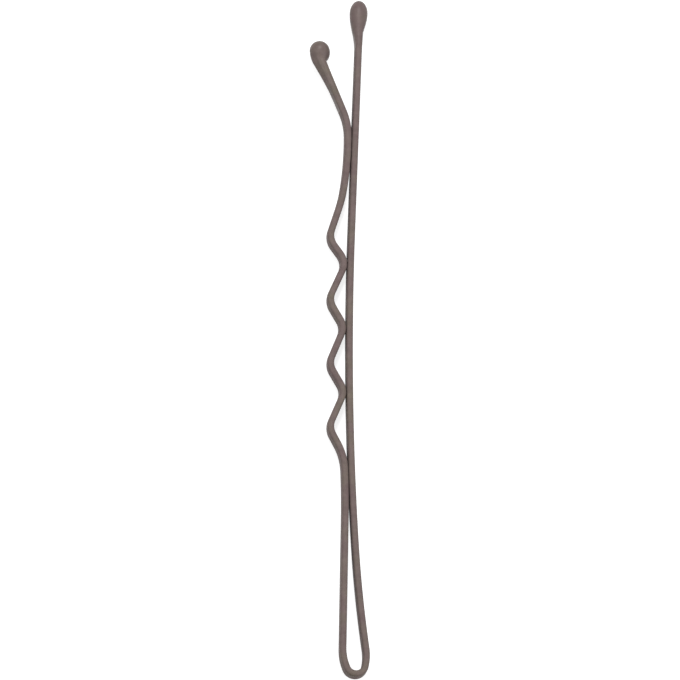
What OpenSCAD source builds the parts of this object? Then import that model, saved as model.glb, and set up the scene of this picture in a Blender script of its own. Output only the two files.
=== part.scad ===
// Bobby pin: one flattened spring-steel wire bent into a straight and a crimped leg,
// with a moulded resin bead bonded on each end. Lengths are in millimetres.
// The pin lies on its side: the plane of the pin is XY, the bend is at -Y, the tips at +Y,
// the straight leg at +X and the crimped leg at -X. Heights in the source count
// from the outside of the bend along Y, and place() moves the finished pin to the origin.

/* [Wire] */
// Thickness of the flattened wire, in the plane of the pin
wire_t = 0.48; // [0.4:0.02:0.6]
// Width of the flattened wire, across the plane of the pin
wire_w = 1.1; // [1:0.05:1.15]
// Thickness of the enamel coat, which stops where the resin of a bead begins
coat_t = 0.01; // [0.005:0.005:0.02]

/* [Bend] */
// Centreline radius of the tight middle of the bend
bend_r = 0.69; // [0.6:0.01:0.9]
// Angle the tight middle turns towards the straight leg
bend_turn_straight = 76.5; // [65:0.5:82]
// Angle the tight middle turns towards the crimped leg
bend_turn_crimped = 66.5; // [60:0.5:78]
// Centreline radius of the slack side of the bend on the straight leg
bend_side_r_straight = 3.7; // [2:0.1:5]
// Centreline radius of the slack side of the bend on the crimped leg
bend_side_r_crimped = 3.55; // [2:0.05:5]
// Angle by which the straight leg leaves the bend leaning over the other leg
straight_lean = 8; // [6:0.5:10]

/* [Straight leg] */
// Radius of the curve that follows the bend
leg_root_r = 96; // [80:1:120]
// Angle of the curve that follows the bend
leg_root_turn = 4.6; // [4:0.1:5.5]
// Radius of the long bow that presses on the crimps
leg_bow_r = 242; // [200:1:300]
// Angle of the long bow
leg_bow_turn = 5.5; // [4.5:0.1:6]
// Length of the straight stretch from the bow to the middle of the drop bead
leg_end_len = 16.35; // [12:0.05:20]

/* [Crimped leg] */
// Radius of the curve that lays the shank against the straight leg
shank_r = 70; // [50:1:80]
// Height of the corner where the crimps turn off the shank, on the straight leg
shank_end_y = 16.4; // [15.4:0.1:17]
// Radius of the bend from the shank into the first crimp
crimp_entry_r = 4.3; // [3:0.1:5]
// Number of outer crests
crimp_count = 4; // [2:1:4]
// Height of the first outer crest
crimp_first_y = 18.5; // [18.2:0.1:19.5]
// Distance from one crest to the next on the same side
crimp_pitch = 4.73; // [4.5:0.01:4.9]
// Distance along the pin from an outer crest to the inner crest above it
crimp_rise = 2.58; // [2.4:0.01:2.8]
// Centreline distance of the outer crests from the straight leg
crimp_depth = 1.36; // [1.2:0.01:1.5]
// Centreline radius of the crests
crest_r = 1.25; // [0.9:0.05:1.3]
// Distance along the pin from the last outer crest to the top of the belly
belly_rise = 6.5; // [6.2:0.05:7.5]
// Radius of the belly that closes on the straight leg
belly_r = 24.6; // [20:0.1:30]
// Radius of the bend that leads into the belly
belly_entry_r = 9; // [7:0.5:12]
// Angle of the belly below its top
belly_lead = 7.5; // [6:0.5:9]
// Angle of the belly above its top
belly_trail = 2.5; // [1.5:0.1:3.5]
// Radius of the bend that flares the toe
toe_r = 4.3; // [3:0.1:6]
// Angle between the flared toe and the pin's length
toe_angle = 22.2; // [15:0.1:28]
// Length of the straight toe, up to the middle of the ball bead
toe_len = 4.92; // [4:0.02:7]

/* [Tips] */
// Diameter of the ball bead on the crimped leg
ball_d = 1.445; // [1.4:0.005:1.8]
// Sideways set of the ball from the wire's centre, towards the straight leg
ball_set = 0.16; // [0:0.01:0.2]
// Length of the resin collar below the middle of the ball
ball_collar_len = 3.2; // [2:0.1:4]
// Diameter of the drop bead on the straight leg
drop_d = 1.3; // [1.28:0.01:1.6]
// Length of the drop bead past its middle, which makes it longer than a ball
drop_nose_len = 0.95; // [0.8:0.01:1.2]
// Length of the drop bead below its middle
drop_tail_len = 2.5; // [2:0.1:3.5]
// Thickness of the resin where a bead's tail ends on the wire
tail_wall = 0.04; // [0.02:0.01:0.08]
// Depth to which a wire end passes the middle of its bead
wire_in_bead = 0.25; // [0.1:0.01:0.3]

/* [Fit] */
// Inset of the resin tails from the tangent of their beads
tail_inset = 0.01; // [0.005:0.005:0.02]
// Clearance between the two legs where they press on each other
contact_gap = 0.025; // [0.02:0.005:0.1]

/* [Hidden] */
$fn = 64;

// Facets of the swept wire: round each edge, and the most turn and length of one facet
edge_facets = 6;
bend_facet = 7;
long_facet = 3;

enamel = [0.45, 0.40, 0.38];
resin = [0.48, 0.43, 0.41];

// A place on the wire is [x, y, heading], and a step along it is [length, 0] for
// a straight or [radius, turn] for a bend, with left turns positive.
function side_of(p, d) = [p[0] - d * sin(p[2]), p[1] + d * cos(p[2])];
function ahead(p, d) = [p[0] + d * cos(p[2]), p[1] + d * sin(p[2]), p[2]];
function bend_centre(p, s) = side_of(p, sign(s[1]) * s[0]);
function on_bend(c, r, side, heading) =
    [c[0] + side * r * sin(heading), c[1] - side * r * cos(heading), heading];
function after(p, s) =
    s[1] == 0 ? ahead(p, s[0]) : on_bend(bend_centre(p, s), s[0], sign(s[1]), p[2] + s[1]);
function walk(p, steps, n, i = 0) = i >= n ? p : walk(after(p, steps[i]), steps, n, i + 1);
function end_of(p, steps) = walk(p, steps, len(steps));

// Steps that join place a to place b with a bend of radius ra, a tangent straight and
// a bend of radius rb the other way. side is 1 where the first bend turns left.
function join_steps(a, b, ra, rb, side) =
    let (span = side_of(b, -side * rb) - side_of(a, side * ra),
         reach = norm(span),
         mid = atan2(span[1], span[0]) + side * asin((ra + rb) / reach))
    [[ra, mid - a[2]], [sqrt(reach * reach - (ra + rb) * (ra + rb)), 0], [rb, b[2] - mid]];

// The bend, measured from its lowest point to either side
low_right = [0, wire_t / 2, 0];
low_left = [0, wire_t / 2, 180];
bend_right_steps = [[bend_r, bend_turn_straight],
                    [bend_side_r_straight, 90 - bend_turn_straight + straight_lean]];
straight_start = end_of(low_right, bend_right_steps);
bend_left_mid = after(low_left, [bend_r, -bend_turn_crimped]);

// The straight leg: a root curve, the long bow and a straight end
bow_start = after(straight_start, [leg_root_r, -leg_root_turn]);
bow_centre = bend_centre(bow_start, [leg_bow_r, -1]);
bow_end = after(bow_start, [leg_bow_r, -leg_bow_turn]);
function bow_heading(y) = acos((y - bow_centre[1]) / leg_bow_r);
function leg_at(y) =
    y < bow_end[1]
    ? on_bend(bow_centre, leg_bow_r, -1, bow_heading(y))
    : [bow_end[0] + (y - bow_end[1]) / tan(bow_end[2]), y, bow_end[2]];
// The place of the crimped leg where it presses on the straight leg at height y
function seat(y) =
    let (p = leg_at(y), q = side_of(p, wire_t + contact_gap)) [q[0], q[1], p[2]];

// Outer crests stand in a row. The bend into the crimps is centred on their corner with
// the shank, so it begins lower where its radius is larger.
function outer_y(i) = crimp_first_y + i * crimp_pitch;
last_crest_y = outer_y(crimp_count - 1);
crest_x = leg_at((crimp_first_y + last_crest_y) / 2)[0] - crimp_depth;
function outer_crest(i) = [crest_x, outer_y(i), 90];
entry_turn = join_steps(seat(shank_end_y), outer_crest(0), 0, crest_r, 1)[0][1];
crimps_y = shank_end_y - crimp_entry_r * tan(entry_turn / 2);

// The bow is split where the straight leg flexes, level with the start of the crimps,
// and the rest of it once more, halfway, so that each solid is nearly straight
bow_split = leg_at(crimps_y);
bow_middle = leg_at((crimps_y + bow_end[1]) / 2);
straight_root_steps = [[leg_root_r, -leg_root_turn],
                       [leg_bow_r, bow_split[2] - bow_start[2]]];
straight_bow_steps = [[leg_bow_r, bow_middle[2] - bow_split[2]]];
straight_bow_top_steps = [[leg_bow_r, bow_end[2] - bow_middle[2]]];
drop_mid = ahead(bow_end, leg_end_len);

// The shank of the crimped leg, from the bend to its seat on the straight leg
shank_end = seat(crimps_y);
shank_join = join_steps(bend_left_mid, shank_end, bend_side_r_crimped, shank_r, -1);
crimped_start = after(bend_left_mid, shank_join[0]);
shank_steps = [shank_join[1], shank_join[2]];

// The crimps: inner crests between the outer ones, seated on the straight leg
function inner_crest(i) = seat(outer_y(i) + crimp_rise);
crimp_steps = concat(
    join_steps(shank_end, outer_crest(0), crimp_entry_r, crest_r, 1),
    [for (i = [0:1:crimp_count - 2])
        each concat(join_steps(outer_crest(i), inner_crest(i), crest_r, crest_r, -1),
                    join_steps(inner_crest(i), outer_crest(i + 1), crest_r, crest_r, 1))]);
crimps_end = outer_crest(crimp_count - 1);

// The toe: the belly seats on the straight leg, then the wire flares away from it
belly_top = seat(last_crest_y + belly_rise);
belly_start = on_bend(side_of(belly_top, belly_r), belly_r, 1, belly_top[2] - belly_lead);
toe_steps = concat(
    join_steps(crimps_end, belly_start, crest_r, belly_entry_r, -1),
    [[belly_r, belly_lead + belly_trail],
     [toe_r, 90 + toe_angle - belly_top[2] - belly_trail],
     [toe_len - ball_collar_len, 0]]);
ball_mid = ahead(end_of(crimps_end, toe_steps), ball_collar_len);
ball_centre = side_of(ball_mid, -ball_set);

// The finished pin stands centred on the origin, on the bottom of its box
bend_side = bend_centre(after(low_right, bend_right_steps[0]), bend_right_steps[1]);
drop_reach = norm([drop_nose_len * sin(drop_mid[2]), drop_d / 2 * cos(drop_mid[2])]);
x_max = max(bend_side[0] + bend_side_r_straight + wire_t / 2, drop_mid[0] + drop_d / 2);
x_min = min(ball_centre[0] - ball_d / 2, crest_x - wire_t / 2);
y_max = max(drop_mid[1] + drop_reach, ball_centre[1] + ball_d / 2);
z_top = max(ball_d, drop_d, wire_w) / 2;
origin = [-(x_min + x_max) / 2, -y_max / 2, z_top];
function placed(p) = [p[0] + origin[0], p[1] + origin[1], origin[2]];
echo(size = [x_max - x_min, y_max, z_top * 2]);
echo(straight_hinges = [placed(straight_start), placed(bow_split), placed(bow_end)]);
echo(crimped_hinges = [placed(crimped_start), placed(shank_end), placed(crimps_end)]);
echo(beads = [placed(drop_mid), placed(ball_centre)], belly = placed(belly_top));

// Outline of the wire's section: flat faces between two fully rounded edges
round_at = (wire_w - wire_t) / 2;
function section(r) = [for (side = [1, -1])
                           for (i = [0:1:edge_facets])
                               let (a = (i / edge_facets - (side - 1) / 2) * 180)
                               [r * cos(a), side * round_at + r * sin(a)]];
function ring(p, r) = [for (s = section(r)) let (q = side_of(p, s[0])) [q[0], q[1], s[1]]];

// Every place where the wire's section stands from place p through all its steps
function facets_of(s) =
    s[1] == 0 ? 1 : ceil(max(abs(s[1]) / bend_facet, abs(s[1]) * PI / 180 * s[0] / long_facet));
function places(p, steps) =
    concat([p], [for (i = [0:1:len(steps) - 1])
                     let (s = steps[i], from = walk(p, steps, i), n = facets_of(s))
                         for (k = [1:1:n])
                             after(from, s[1] == 0 ? s : [s[0], s[1] * k / n])]);

// The wire, swept from place start through all its steps, with bare steel beyond them
module wire_run(start, steps, bare_len = 0) {
    coated = places(start, steps);
    tip = coated[len(coated) - 1];
    bare = bare_len > 0 ? [tip, ahead(tip, bare_len)] : [];
    around = 2 * (edge_facets + 1);
    last = (len(coated) + len(bare) - 1) * around;
    polyhedron(
        points = concat(
            [for (p = coated) each ring(p, wire_t / 2)],
            [for (p = bare) each ring(p, wire_t / 2 - coat_t)]),
        faces = concat(
            [[for (j = [0:1:around - 1]) j]],
            [[for (j = [around - 1:-1:0]) last + j]],
            [for (i = [0:around:last - 1])
                for (j = [0:1:around - 1])
                    let (k = (j + 1) % around)
                    [i + j, i + around + j, i + around + k, i + k]]));
}

// A straight stretch of wire of half thickness r as a true extrusion
module wire_straight(p, length, r) {
    translate([p[0], p[1], 0])
        rotate([0, 0, p[2]])
            rotate([90, 0, 90])
                linear_extrude(height = length) {
                    square([2 * r, 2 * round_at], center = true);
                    for (side = [-1, 1])
                        translate([0, side * round_at])
                            circle(r = r);
                }
}

// The bare end of the wire that a bead with its middle at place p holds
module bare_end(p, tail) {
    wire_straight(ahead(p, -tail), tail + wire_in_bead, wire_t / 2 - coat_t);
}

module place() {
    translate(origin)
        children();
}

// Half profile of the conical tail of a round bead, down the wire, all drawn out by the
// factor long. The tail leaves the round a little inside its tangent, on the side that
// the bead is set to.
module tail_profile(d, set, tail, long) {
    tail_r = wire_t / 2 + tail_wall;
    round_r = d / 2 - tail_inset;
    span = [tail_r + set, -tail / long];
    tangent = atan2(span[1], span[0]) + acos(round_r / norm(span));
    shoulder = [round_r * cos(tangent) - set, round_r * sin(tangent) * long];
    polygon([[0, shoulder[1]], shoulder, [tail_r, -tail], [0, -tail]]);
}

// A bead of diameter d over the wire at place p, round or drawn out to nose past its
// middle, with its tail down the wire
module bead(p, d, nose, set, tail) {
    long = nose / (d / 2);
    translate([p[0], p[1], 0])
        rotate([0, 0, p[2] - 90])
            rotate([-90, 0, 0]) {
                translate([set, 0, 0])
                    scale([1, 1, long])
                        sphere(d = d);
                rotate_extrude()
                    tail_profile(d, set, tail, long);
            }
}

module bend() {
    color(enamel)
        place()
            wire_run([crimped_start[0], crimped_start[1], crimped_start[2] + 180],
                     [[bend_side_r_crimped, -shank_join[0][1]],
                      [bend_r, bend_turn_crimped + bend_turn_straight],
                      bend_right_steps[1]]);
}

module straight_root() {
    color(enamel)
        place()
            wire_run(straight_start, straight_root_steps);
}

module straight_bow() {
    color(enamel)
        place()
            wire_run(bow_split, straight_bow_steps);
}

module straight_bow_top() {
    color(enamel)
        place()
            wire_run(bow_middle, straight_bow_top_steps);
}

module straight_end() {
    color(enamel)
        place() {
            wire_straight(bow_end, leg_end_len - drop_tail_len, wire_t / 2);
            bare_end(drop_mid, drop_tail_len + wire_t);
        }
}

module crimped_shank() {
    color(enamel)
        place()
            wire_run(crimped_start, shank_steps);
}

module crimps() {
    color(enamel)
        place()
            wire_run(shank_end, crimp_steps);
}

module toe() {
    color(enamel)
        place()
            wire_run(crimps_end, toe_steps, ball_collar_len + wire_in_bead);
}

// The drop bead, moulded over the end of the straight leg
module drop_tip() {
    color(resin)
        place()
            difference() {
                bead(drop_mid, drop_d, drop_nose_len, 0, drop_tail_len);
                bare_end(drop_mid, drop_tail_len + wire_t);
            }
}

// The ball bead, set to one side of the end of the toe, with its collar on the wire
module ball_tip() {
    color(resin)
        place()
            difference() {
                bead(ball_mid, ball_d, ball_d / 2, ball_set, ball_collar_len);
                bare_end(ball_mid, ball_collar_len + wire_t);
            }
}

bend();
straight_root();
straight_bow();
straight_bow_top();
straight_end();
drop_tip();
crimped_shank();
crimps();
toe();
ball_tip();
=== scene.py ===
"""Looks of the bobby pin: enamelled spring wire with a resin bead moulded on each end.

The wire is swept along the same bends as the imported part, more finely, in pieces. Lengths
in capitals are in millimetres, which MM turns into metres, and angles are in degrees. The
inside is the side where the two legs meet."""

import math

import bmesh
import bpy
from mathutils import Matrix, Vector


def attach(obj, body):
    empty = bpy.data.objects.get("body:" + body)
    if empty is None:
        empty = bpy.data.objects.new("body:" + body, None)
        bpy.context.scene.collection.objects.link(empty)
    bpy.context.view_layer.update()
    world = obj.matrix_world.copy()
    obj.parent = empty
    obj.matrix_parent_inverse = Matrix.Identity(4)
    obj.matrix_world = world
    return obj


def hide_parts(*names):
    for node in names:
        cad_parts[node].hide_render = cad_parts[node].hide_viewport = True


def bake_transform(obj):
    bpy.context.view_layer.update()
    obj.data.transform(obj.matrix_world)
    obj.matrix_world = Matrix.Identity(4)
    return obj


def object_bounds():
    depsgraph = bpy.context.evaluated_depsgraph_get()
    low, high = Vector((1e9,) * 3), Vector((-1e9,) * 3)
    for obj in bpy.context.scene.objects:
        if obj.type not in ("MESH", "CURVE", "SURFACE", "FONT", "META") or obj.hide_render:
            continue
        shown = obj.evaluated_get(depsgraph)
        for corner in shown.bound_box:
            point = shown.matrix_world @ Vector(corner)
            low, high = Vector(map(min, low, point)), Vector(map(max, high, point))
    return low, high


MM = 0.001

# The wire and its fit, as in the part
WIRE_T = 0.48
WIRE_W = 1.1
CONTACT_GAP = 0.025

# The bend
BEND_R = 0.69
BEND_TURN_STRAIGHT = 76.5
BEND_TURN_CRIMPED = 66.5
BEND_SIDE_R_STRAIGHT = 3.7
BEND_SIDE_R_CRIMPED = 3.55
STRAIGHT_LEAN = 8

# The straight leg
LEG_ROOT_R = 96
LEG_ROOT_TURN = 4.6
LEG_BOW_R = 242
LEG_BOW_TURN = 5.5
LEG_END_LEN = 16.35

# The crimped leg
SHANK_R = 70
SHANK_END_Y = 16.4
CRIMP_ENTRY_R = 4.3
CRIMP_COUNT = 4
CRIMP_FIRST_Y = 18.5
CRIMP_PITCH = 4.73
CRIMP_RISE = 2.58
CRIMP_DEPTH = 1.36
CREST_R = 1.25
BELLY_RISE = 6.5
BELLY_R = 24.6
BELLY_ENTRY_R = 9
BELLY_LEAD = 7.5
BELLY_TRAIL = 2.5
TOE_R = 4.3
TOE_ANGLE = 22.2
TOE_LEN = 4.92

# The beads. The ball is set to the inside.
BALL_D = 1.445
BALL_SET = 0.16
DROP_D = 1.3
DROP_NOSE_LEN = 0.95
WIRE_IN_BEAD = 0.25

# Fineness of the swept wire: turn and length of one facet, and points on an edge and a flat
BEND_FACET = 2
LONG_FACET = 0.4
EDGE_POINTS = 16
FLAT_POINTS = 4
# Power of the curve round an edge: 2 is a circle, and more is squarer
EDGE_FULLNESS = 2.8
# Edges that turn by more than this stay sharp
SHARP_ANGLE = 60

# The drop: its set to the inside, and the lengths of its taper on the inside and outside
DROP_SET = 0.06
DROP_INNER_TAPER = 2.7
DROP_OUTER_TAPER = 1.5

# The ball: how many times its lower half is as long as a round one's, and from where and
# over what length the middle of the rings moves from the wire's to the ball's
BALL_SAG = 1.25
BALL_SHIFT_FROM = -0.45
BALL_SHIFT_LEN = 0.5

# The ball's collar, which flares to the outside: reach, length, how fast it falls off, and
# where past the ball's middle, and over what length, it runs out
FLARE = 0.5
FLARE_LEN = 4.9
FLARE_FALL = 1.7
FLARE_TOP = 1.2
FLARE_TOP_LEN = 2
# How much the collar shrinks for each millimetre past the ball's middle
COLLAR_SHRINK = 2
# The fillet between ball and collar, and the share of it that the outside has
FILLET = 0.28
FILLET_LEAST = 0.3

# The film of resin on the wire: thickness, how far its end tucks into the wire, its length
# from the middle of the drop, and over what length it runs out under the drop and the ball.
# Under the ball it is as long as the collar.
FILM = 0.012
TUCK = 0.008
DROP_FILM_LEN = 2.7
DROP_FILM_END = 0.3
BALL_FILM_END = 0.392

# Fineness of the beads: the step from ring to ring on the tail, how far under the middle the
# tail ends, the angles of the rings from there to the tip, and the points on a ring
BEAD_STEP = 0.06
BEAD_ROUND_FROM = 0.7
BEAD_RING_ANGLES = range(-72, 89, 2)
BEAD_POINTS = 72

# Heights along the pin where the wire's pieces meet, and a pair of heights for each piece
ROOT_SEAM_Y = 2.3
SHANK_MID_Y = 8.8
CRIMPS_MID_Y = 24.5
BOW_MID_Y = 24
ROOT_FLEX = (2.45, 5.5)
MIDDLE_FLEX = (11.3, 19.3)
END_FLEX = (29.5, 36)

# The two coats: dark, middle and light colour, roughness and specular level, and the size,
# detail and roughness of the noise that makes the orange peel
ENAMEL = ((0.14, 0.098, 0.098), (0.152, 0.115, 0.108), (0.153, 0.126, 0.102))
ENAMEL_GLOSS = (0.58, 0.12)
ENAMEL_PEEL = (0.12, 2, 0.5)
RESIN = ((0.131, 0.092, 0.092), (0.142, 0.107, 0.1), (0.143, 0.118, 0.095))
RESIN_GLOSS = (0.4, 0.17)
RESIN_PEEL = (0.2, 2, 0.5)

# Both coats: noise of the mottles, of the grain and of the haze in the gloss, where in the
# noise the three colours lie, and how much of its range the grain and the haze use
MOTTLE_NOISE = (1.6, 4, 0.6)
GRAIN_NOISE = (0.6, 4, 0.75)
HAZE_NOISE = (0.5, 3, 0.6)
MOTTLE_STOPS = (0.3, 0.5, 0.72)
NOISE_RANGE = (0.3, 0.7)
# How much the grain changes the colour and the haze the roughness, and height of the peel
GRAIN_DEPTH = 0.15
HAZE_DOWN = 0.05
HAZE_UP = 0.07
PEEL_HEIGHT = 0.006
PEEL_STRENGTH = 0.25

# The view of the photo: the way to the camera, its distance, clip distances and sensor, how
# wide the picture is at the pin, and the point of the pin's plane at its centre
CAMERA_WAY = (-0.13, -0.26, 0.957)
CAMERA_DISTANCE = 2000
CAMERA_CLIP = (10, 20000)
SENSOR_WIDTH = 36
VIEW_WIDTH = 48.8
VIEW_CENTRE = (0.0425, -0.16)

# The floor, which shows white to the camera: half its side, its own grey and its glow
FLOOR_HALF = 200
FLOOR_GREY = 0.5
FLOOR_GLOW = 0.8

# The lights: the world's strength, and name, place, size and power in watts of each lamp
WORLD_LIGHT = 0.32
LAMPS = (("key", (-30, 160, 260), 80, 0.57),
         ("right_fill", (200, -100, 200), 200, 0.3),
         ("left_fill", (-200, -30, 220), 150, 0.2))


# A place on the wire is (x, y, heading), and a step is (length, 0) or (radius, turn).


def side_of(p, d):
    """The point at distance d to the left of place p."""
    a = math.radians(p[2])
    return (p[0] - d * math.sin(a), p[1] + d * math.cos(a))


def ahead(p, d):
    """Place p moved by d along its heading."""
    a = math.radians(p[2])
    return (p[0] + d * math.cos(a), p[1] + d * math.sin(a), p[2])


def on_bend(centre, r, side, heading):
    """The place on a bend with that heading. side is 1 where the bend turns left."""
    a = math.radians(heading)
    return (centre[0] + side * r * math.sin(a), centre[1] - side * r * math.cos(a), heading)


def after(p, step):
    """The place at the end of a step from place p."""
    size, turn = step
    if turn == 0:
        return ahead(p, size)
    side = math.copysign(1, turn)
    return on_bend(side_of(p, side * size), size, side, p[2] + turn)


def join_steps(a, b, ra, rb, side):
    """A bend of radius ra, a tangent straight and a bend of rb the other way, from a to b."""
    start = side_of(a, side * ra)
    end = side_of(b, -side * rb)
    span = (end[0] - start[0], end[1] - start[1])
    reach = math.hypot(*span)
    along = math.degrees(math.atan2(span[1], span[0]))
    mid = along + side * math.degrees(math.asin((ra + rb) / reach))
    straight = math.sqrt(reach * reach - (ra + rb) ** 2)
    return [(ra, mid - a[2]), (straight, 0), (rb, b[2] - mid)]


def places(p, steps):
    """Where the wire's section stands, finely, from place p through all the steps."""
    found = [p]
    for size, turn in steps:
        length = size * (math.radians(abs(turn)) if turn else 1)
        facets = math.ceil(max(abs(turn) / BEND_FACET, length / LONG_FACET))
        start = found[-1]
        for k in range(1, facets + 1):
            share = (size, turn * k / facets) if turn else (size * k / facets, 0)
            found.append(after(start, share))
    return found


class Legs:
    """The two legs, walked from the lowest point of the bend.

    straight and crimped are their places. drop_mid and ball_mid are the places of the beads'
    middles on the wire, and origin moves all of them into the frame of the part."""

    def __init__(self):
        low_right = (0, WIRE_T / 2, 0)
        low_left = (0, WIRE_T / 2, 180)
        side_turn = 90 - BEND_TURN_STRAIGHT + STRAIGHT_LEAN
        bend_right = [(BEND_R, BEND_TURN_STRAIGHT), (BEND_SIDE_R_STRAIGHT, side_turn)]
        root = (LEG_ROOT_R, -LEG_ROOT_TURN)
        bow = (LEG_BOW_R, -LEG_BOW_TURN)
        side_start = after(low_right, bend_right[0])
        bow_start = after(after(side_start, bend_right[1]), root)
        self.bow_centre = side_of(bow_start, -LEG_BOW_R)
        self.bow_end = after(bow_start, bow)
        self.drop_mid = ahead(self.bow_end, LEG_END_LEN)
        end = (LEG_END_LEN + WIRE_IN_BEAD, 0)
        self.straight = places(low_right, bend_right + [root, bow, end])

        outer = [CRIMP_FIRST_Y + i * CRIMP_PITCH for i in range(CRIMP_COUNT)]
        crest_x = self.leg_at((outer[0] + outer[-1]) / 2)[0] - CRIMP_DEPTH
        crests = [(crest_x, y, 90) for y in outer]
        # The bend into the crimps is centred on its corner with the shank
        entry_turn = join_steps(self.seat(SHANK_END_Y), crests[0], 0, CREST_R, 1)[0][1]
        crimps_y = SHANK_END_Y - CRIMP_ENTRY_R * math.tan(math.radians(entry_turn / 2))
        shank_end = self.seat(crimps_y)
        bend_left = (BEND_R, -BEND_TURN_CRIMPED)
        steps = [bend_left]
        steps += join_steps(after(low_left, bend_left), shank_end, BEND_SIDE_R_CRIMPED,
                            SHANK_R, -1)
        steps += join_steps(shank_end, crests[0], CRIMP_ENTRY_R, CREST_R, 1)
        for low, high in zip(crests, crests[1:]):
            inner = self.seat(low[1] + CRIMP_RISE)
            steps += join_steps(low, inner, CREST_R, CREST_R, -1)
            steps += join_steps(inner, high, CREST_R, CREST_R, 1)
        belly = self.seat(outer[-1] + BELLY_RISE)
        belly_start = on_bend(side_of(belly, BELLY_R), BELLY_R, 1, belly[2] - BELLY_LEAD)
        steps += join_steps(crests[-1], belly_start, CREST_R, BELLY_ENTRY_R, -1)
        steps += [(BELLY_R, BELLY_LEAD + BELLY_TRAIL),
                  (TOE_R, 90 + TOE_ANGLE - belly[2] - BELLY_TRAIL),
                  (TOE_LEN + WIRE_IN_BEAD, 0)]
        self.crimped = places(low_left, steps)
        self.ball_mid = ahead(self.crimped[-1], -WIRE_IN_BEAD)

        ball = side_of(self.ball_mid, -BALL_SET)
        side = side_of(side_start, BEND_SIDE_R_STRAIGHT)
        x_max = max(side[0] + BEND_SIDE_R_STRAIGHT + WIRE_T / 2, self.drop_mid[0] + DROP_D / 2)
        x_min = min(ball[0] - BALL_D / 2, crest_x - WIRE_T / 2)
        lean = math.radians(self.drop_mid[2])
        drop_reach = math.hypot(DROP_NOSE_LEN * math.sin(lean), DROP_D / 2 * math.cos(lean))
        y_max = max(self.drop_mid[1] + drop_reach, ball[1] + BALL_D / 2)
        z_top = max(BALL_D, DROP_D, WIRE_W) / 2
        self.origin = Vector((-(x_min + x_max) / 2, -y_max / 2, z_top))

    def leg_at(self, y):
        """The place on the straight leg at height y."""
        if y > self.bow_end[1]:
            x = self.bow_end[0] + (y - self.bow_end[1]) / math.tan(math.radians(self.bow_end[2]))
            return (x, y, self.bow_end[2])
        heading = math.degrees(math.acos((y - self.bow_centre[1]) / LEG_BOW_R))
        return on_bend(self.bow_centre, LEG_BOW_R, -1, heading)

    def seat(self, y):
        """The place of the crimped leg where it presses on the straight leg at height y."""
        p = self.leg_at(y)
        return (*side_of(p, WIRE_T + CONTACT_GAP), p[2])


# Meshes


def add_object(name, data):
    obj = bpy.data.objects.new(name, data)
    bpy.context.scene.collection.objects.link(obj)
    return obj


def mesh_object(name, bm):
    mesh = bpy.data.meshes.new(name)
    bm.to_mesh(mesh)
    bm.free()
    return add_object(name, mesh)


def loft(name, rings):
    """A closed, smooth skin over rings of points in metres, with a cap on each sharp end."""
    bm = bmesh.new()
    rows = [[bm.verts.new(p) for p in ring] for ring in rings]
    for low, high in zip(rows, rows[1:]):
        for j in range(len(low)):
            k = (j + 1) % len(low)
            bm.faces.new((low[j], low[k], high[k], high[j]))
    bm.faces.new(rows[0])
    bm.faces.new(rows[-1])
    bmesh.ops.recalc_face_normals(bm, faces=bm.faces)
    for edge in bm.edges:
        edge.smooth = edge.calc_face_angle(0) < math.radians(SHARP_ANGLE)
    for face in bm.faces:
        face.smooth = True
    return mesh_object(name, bm)


def wire_outline():
    """The section of the wire: (across, up) points round two full edges and two flats."""
    round_at = (WIRE_W - WIRE_T) / 2
    points = []
    for side in (1, -1):
        for i in range(EDGE_POINTS):
            a = math.pi * (i / (EDGE_POINTS - 1) + (1 - side) / 2)
            c, s = math.cos(a), math.sin(a)
            fullness = (abs(c) ** EDGE_FULLNESS + abs(s) ** EDGE_FULLNESS) ** (1 / EDGE_FULLNESS)
            r = WIRE_T / 2 / fullness
            points.append((r * c, side * round_at + r * s))
        for i in range(1, FLAT_POINTS):
            up = side * round_at * (1 - 2 * i / FLAT_POINTS)
            points.append((-side * WIRE_T / 2, up))
    return points


def sweep(name, run, origin):
    """The wire's section swept along the places of run."""
    outline = wire_outline()
    rings = []
    for p in run:
        ring = [(*side_of(p, across), up) for across, up in outline]
        rings.append([(Vector(q) + origin) * MM for q in ring])
    return loft(name, rings)


def smoothstep(x):
    """A smooth rise from 0 at 0 to 1 at 1, held beyond."""
    x = min(max(x, 0), 1)
    return x * x * (3 - 2 * x)


def smooth_max(p, q, k):
    """The larger of p and q, with the corner between them rounded over k."""
    lap = max(k - abs(p - q), 0) / k
    return max(p, q) + lap * lap * k / 4


def stadium_reach(a, b, c, s):
    """How far a section of half sizes a and b with round edges reaches in direction (c, s)."""
    h = b - a
    if abs(c) * h > abs(s) * a:
        return a / abs(c)
    return abs(s) * h + math.sqrt(max(a * a - (h * c) ** 2, 0))


def circle_reach(r, g, c, s):
    """How far a circle of radius r about (g, 0) reaches from (0, 0) in direction (c, s)."""
    inside = r * r - (g * s) ** 2
    return c * g + math.sqrt(inside) if inside > 0 else 0


def film_at(t, length, end):
    """Thickness of the film at t past the middle of a bead. Its end tucks into the wire."""
    return FILM - (FILM + TUCK) * smoothstep(1 - (t + length) / end)


def drop_fullness(t, c):
    """How full the drop is at t past its middle: a soft inner taper and a short outer one."""
    inner = 1 - smoothstep(-t / DROP_INNER_TAPER)
    down = min(-t / DROP_OUTER_TAPER, 1)
    outer = 1 - (3 - down) * down * down / 2
    return inner + (outer - inner) * (1 - c) / 2


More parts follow.
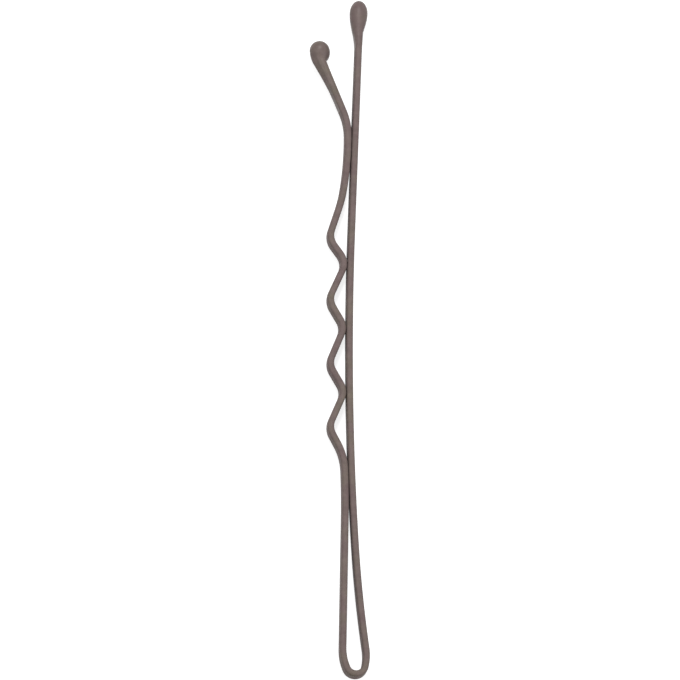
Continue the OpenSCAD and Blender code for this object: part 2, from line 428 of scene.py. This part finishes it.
def drop_ring(t, c, s):
    """Place (across, up) on the drop at t past its middle, in direction (c, s) round the wire."""
    body_r = DROP_D / 2
    if t > 0:
        reach = body_r * math.sqrt(1 - min(t / DROP_NOSE_LEN, 1) ** 2)
        middle = DROP_SET
    else:
        full = drop_fullness(t, c)
        wall = (1 - full) * film_at(t, DROP_FILM_LEN, DROP_FILM_END)
        a = WIRE_T / 2 + (body_r - WIRE_T / 2) * full + wall
        b = WIRE_W / 2 + (body_r - WIRE_W / 2) * full + wall
        reach = stadium_reach(a, b, c, s)
        middle = DROP_SET * full
    return (middle + reach * c, reach * s)


def ball_ring(t, c, s):
    """Place (across, up) on the ball and its collar, as drop_ring."""
    ball_r = BALL_D / 2
    middle = -BALL_SET * smoothstep((t - BALL_SHIFT_FROM) / BALL_SHIFT_LEN)
    ball = 0
    sunk = t / BALL_SAG if t < 0 else t
    if abs(sunk) < ball_r:
        ball = circle_reach(math.sqrt(ball_r**2 - sunk * sunk), -BALL_SET - middle, c, s)
    film = film_at(t, FLARE_LEN, BALL_FILM_END)
    wire = stadium_reach(WIRE_T / 2 + film, WIRE_W / 2 + film, c, s)
    down = min(max(-t / FLARE_LEN, 0), 1)
    flare = FLARE * (1 - down) ** FLARE_FALL * smoothstep((FLARE_TOP - t) / FLARE_TOP_LEN)
    wire += flare * max(c, 0) ** 2 - middle * c
    if t > 0:
        wire -= COLLAR_SHRINK * t
    fillet = FILLET * (FILLET_LEAST - (1 - FILLET_LEAST) * min(c, 0))
    reach = smooth_max(ball, wire, fillet)
    return (middle + reach * c, reach * s)


def bead(name, at, ring, tail, tip_r, origin):
    """A bead lofted about the wire at place at, from the end of its tail to its tip."""
    steps = int((tail - BEAD_ROUND_FROM) / BEAD_STEP)
    heights = [-tail + i * BEAD_STEP for i in range(steps + 1)]
    round_heights = [tip_r * math.sin(math.radians(a)) for a in BEAD_RING_ANGLES]
    tail_top = heights[-1]
    heights += [t for t in round_heights if t > tail_top]
    angles = [2 * math.pi * (i + 0.5) / BEAD_POINTS for i in range(BEAD_POINTS)]
    rings = []
    for t in heights:
        place = ahead(at, t)
        row = []
        for a in angles:
            across, up = ring(t, math.cos(a), math.sin(a))
            row.append((Vector((*side_of(place, across), up)) + origin) * MM)
        rings.append(row)
    return loft(name, rings)


# Materials


def new_material(name):
    material = bpy.data.materials.new(name)
    material.use_nodes = True
    nodes = material.node_tree.nodes
    nodes.clear()
    out = nodes.new("ShaderNodeOutputMaterial")
    return material, nodes, material.node_tree.links, out


def noise(nodes, links, coords, size, detail, roughness):
    """Noise from 0 to 1 with lumps of about that size."""
    node = nodes.new("ShaderNodeTexNoise")
    node.inputs["Scale"].default_value = 1 / (size * MM)
    node.inputs["Detail"].default_value = detail
    node.inputs["Roughness"].default_value = roughness
    links.new(coords, node.inputs["Vector"])
    return node.outputs["Fac"]


def ramp(nodes, links, fac, stops):
    """The colour at fac among stops, which are pairs of position and colour."""
    node = nodes.new("ShaderNodeValToRGB")
    links.new(fac, node.inputs["Fac"])
    points = node.color_ramp.elements
    while len(points) < len(stops):
        points.new(0.5)
    for point, (at, colour) in zip(points, stops):
        point.position = at
        point.color = (*colour, 1)
    return node.outputs["Color"]


def remap(nodes, links, value, low, high, new_low, new_high):
    """The value, with the range from low to high stretched to the new one and held there."""
    node = nodes.new("ShaderNodeMapRange")
    links.new(value, node.inputs["Value"])
    for name, number in (("From Min", low), ("From Max", high),
                         ("To Min", new_low), ("To Max", new_high)):
        node.inputs[name].default_value = number
    return node.outputs["Result"]


def coat(name, colours, gloss, peel_noise):
    """Satin coat: soft mottling, a finer grain of light and dark, orange peel, uneven gloss."""
    roughness, specular = gloss
    material, nodes, links, out = new_material(name)
    shader = nodes.new("ShaderNodeBsdfPrincipled")
    links.new(shader.outputs["BSDF"], out.inputs["Surface"])
    coords = nodes.new("ShaderNodeTexCoord").outputs["Object"]
    mottle = noise(nodes, links, coords, *MOTTLE_NOISE)
    colour = ramp(nodes, links, mottle, list(zip(MOTTLE_STOPS, colours)))
    grain = noise(nodes, links, coords, *GRAIN_NOISE)
    shade = remap(nodes, links, grain, *NOISE_RANGE, 1 - GRAIN_DEPTH, 1 + GRAIN_DEPTH)
    tone = nodes.new("ShaderNodeHueSaturation")
    links.new(colour, tone.inputs["Color"])
    links.new(shade, tone.inputs["Value"])
    links.new(tone.outputs["Color"], shader.inputs["Base Color"])
    haze = noise(nodes, links, coords, *HAZE_NOISE)
    matt = remap(nodes, links, haze, *NOISE_RANGE, roughness - HAZE_DOWN, roughness + HAZE_UP)
    links.new(matt, shader.inputs["Roughness"])
    shader.inputs["Specular IOR Level"].default_value = specular
    peel = noise(nodes, links, coords, *peel_noise)
    bump = nodes.new("ShaderNodeBump")
    bump.inputs["Strength"].default_value = PEEL_STRENGTH
    bump.inputs["Distance"].default_value = PEEL_HEIGHT * MM
    links.new(peel, bump.inputs["Height"])
    links.new(bump.outputs["Normal"], shader.inputs["Normal"])
    return material


def seen_rays(nodes, links):
    """1 on the rays that show the background: the camera's, reflections' and those in glass."""
    paths = nodes.new("ShaderNodeLightPath")
    seen = paths.outputs["Is Camera Ray"]
    for kind in ("Is Glossy Ray", "Is Transmission Ray"):
        either = nodes.new("ShaderNodeMath")
        either.operation = "MAXIMUM"
        links.new(seen, either.inputs[0])
        links.new(paths.outputs[kind], either.inputs[1])
        seen = either.outputs[0]
    return seen


def floor_material():
    """A floor that shows white to the camera and keeps a soft shadow."""
    material, nodes, links, out = new_material("floor_white")
    matte = nodes.new("ShaderNodeBsdfDiffuse")
    matte.inputs["Color"].default_value = (FLOOR_GREY, FLOOR_GREY, FLOOR_GREY, 1)
    glow = nodes.new("ShaderNodeEmission")
    glow.inputs["Strength"].default_value = FLOOR_GLOW
    add = nodes.new("ShaderNodeAddShader")
    links.new(matte.outputs["BSDF"], add.inputs[0])
    links.new(glow.outputs["Emission"], add.inputs[1])
    pick = nodes.new("ShaderNodeMixShader")
    links.new(seen_rays(nodes, links), pick.inputs["Fac"])
    links.new(matte.outputs["BSDF"], pick.inputs[1])
    links.new(add.outputs["Shader"], pick.inputs[2])
    links.new(pick.outputs["Shader"], out.inputs["Surface"])
    return material


# The pin


def part_at(run, y):
    """The number of the first place of run at or past height y."""
    return min(i for i, p in enumerate(run) if p[1] >= y)


def build_pin(legs):
    origin = legs.origin
    enamel = coat("satin_taupe_enamel", ENAMEL, ENAMEL_GLOSS, ENAMEL_PEEL)
    resin = coat("satin_taupe_resin", RESIN, RESIN_GLOSS, RESIN_PEEL)
    straight, crimped = legs.straight, legs.crimped
    root = part_at(straight, ROOT_SEAM_Y)
    root_mid = part_at(straight, SHANK_MID_Y)
    bow_mid = part_at(straight, BOW_MID_Y)
    shank_mid = part_at(crimped, SHANK_MID_Y)
    crimps_mid = part_at(crimped, CRIMPS_MID_Y)
    # From the root of the straight leg round the bend to the middle of the shank
    round_bend = [(x, y, heading + 180) for x, y, heading in reversed(straight[1:root + 1])]
    round_bend += crimped[:shank_mid + 1]
    # Name, places, the two bodies that it crosses, the heights of the flex, nodes replaced
    pieces = [
        ("wire_bend", round_bend, "bend", "crimped_shank", ROOT_FLEX,
         ("bend", "crimped_shank")),
        ("wire_crimps", crimped[shank_mid:crimps_mid + 1], "crimped_shank", "crimps",
         MIDDLE_FLEX, ("crimps",)),
        ("wire_toe", crimped[crimps_mid:], "crimps", "toe", END_FLEX, ("toe",)),
        ("wire_root", straight[root:root_mid + 1], "bend", "straight_root", ROOT_FLEX,
         ("straight_root",)),
        ("wire_bow", straight[root_mid:bow_mid + 1], "straight_root", "straight_bow",
         MIDDLE_FLEX, ("straight_bow", "straight_bow_top")),
        ("wire_end", straight[bow_mid:], "straight_bow", "straight_end", END_FLEX,
         ("straight_end",)),
    ]
    for name, run, low, high, flex, nodes in pieces:
        obj = sweep(name, run, origin)
        obj.data.materials.append(enamel)
        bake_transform(obj)
        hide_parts(*nodes)
    drop = bead("drop_bead", legs.drop_mid, drop_ring, DROP_FILM_LEN, DROP_NOSE_LEN, origin)
    ball = bead("ball_bead", legs.ball_mid, ball_ring, FLARE_LEN, BALL_D / 2, origin)
    for obj, body, node in ((drop, "straight_end", "drop_tip"), (ball, "toe", "ball_tip")):
        obj.data.materials.append(resin)
        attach(obj, body)
        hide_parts(node)


# The studio


def build_floor():
    bm = bmesh.new()
    bmesh.ops.create_grid(bm, x_segments=1, y_segments=1, size=FLOOR_HALF * MM)
    floor = mesh_object("floor", bm)
    floor.data.materials.append(floor_material())


def add_lamp(name, at, size, power):
    """A round lamp that faces the origin."""
    data = bpy.data.lights.new(name, "AREA")
    data.shape = "DISK"
    data.size = size * MM
    data.energy = power
    lamp = add_object(name, data)
    lamp.location = Vector(at) * MM
    lamp.rotation_mode = "QUATERNION"
    lamp.rotation_quaternion = (-Vector(at)).to_track_quat("-Z", "Y")


def build_lights():
    world = bpy.data.worlds.new("studio")
    bpy.context.scene.world = world
    world.use_nodes = True
    nodes, links = world.node_tree.nodes, world.node_tree.links
    back = nodes["Background"]
    back.inputs["Color"].default_value = (1, 1, 1, 1)
    strength = remap(nodes, links, seen_rays(nodes, links), 0, 1, WORLD_LIGHT, 1)
    links.new(strength, back.inputs["Strength"])
    for lamp in LAMPS:
        add_lamp(*lamp)


def build_camera(pin_height):
    """The camera of the photo, aimed at half the height of the pin."""
    away = Vector(CAMERA_WAY).normalized()
    right = Vector((0, 1, 0)).cross(away).normalized()
    up = away.cross(right)
    data = bpy.data.cameras.new("camera")
    data.sensor_width = SENSOR_WIDTH
    data.lens = SENSOR_WIDTH * CAMERA_DISTANCE / VIEW_WIDTH
    data.clip_start, data.clip_end = (distance * MM for distance in CAMERA_CLIP)
    camera = add_object("camera", data)
    turn = Matrix((right, up, away)).transposed()
    target = Vector((*VIEW_CENTRE, 0)) * MM + Vector((0, 0, pin_height / 2))
    camera.matrix_world = (Matrix.Translation(target + away * CAMERA_DISTANCE * MM)
                           @ turn.to_4x4())
    bpy.context.scene.camera = camera


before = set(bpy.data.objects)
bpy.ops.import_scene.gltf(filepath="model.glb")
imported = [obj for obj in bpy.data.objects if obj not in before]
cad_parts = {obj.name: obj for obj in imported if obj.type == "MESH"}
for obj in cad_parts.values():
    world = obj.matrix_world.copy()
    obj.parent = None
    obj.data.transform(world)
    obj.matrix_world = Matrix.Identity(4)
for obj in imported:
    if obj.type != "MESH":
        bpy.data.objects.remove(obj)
cad_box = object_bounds()
build_pin(Legs())
build_floor()
build_lights()
build_camera(cad_box[1].z)
bpy.context.scene.view_settings.view_transform = "Standard"
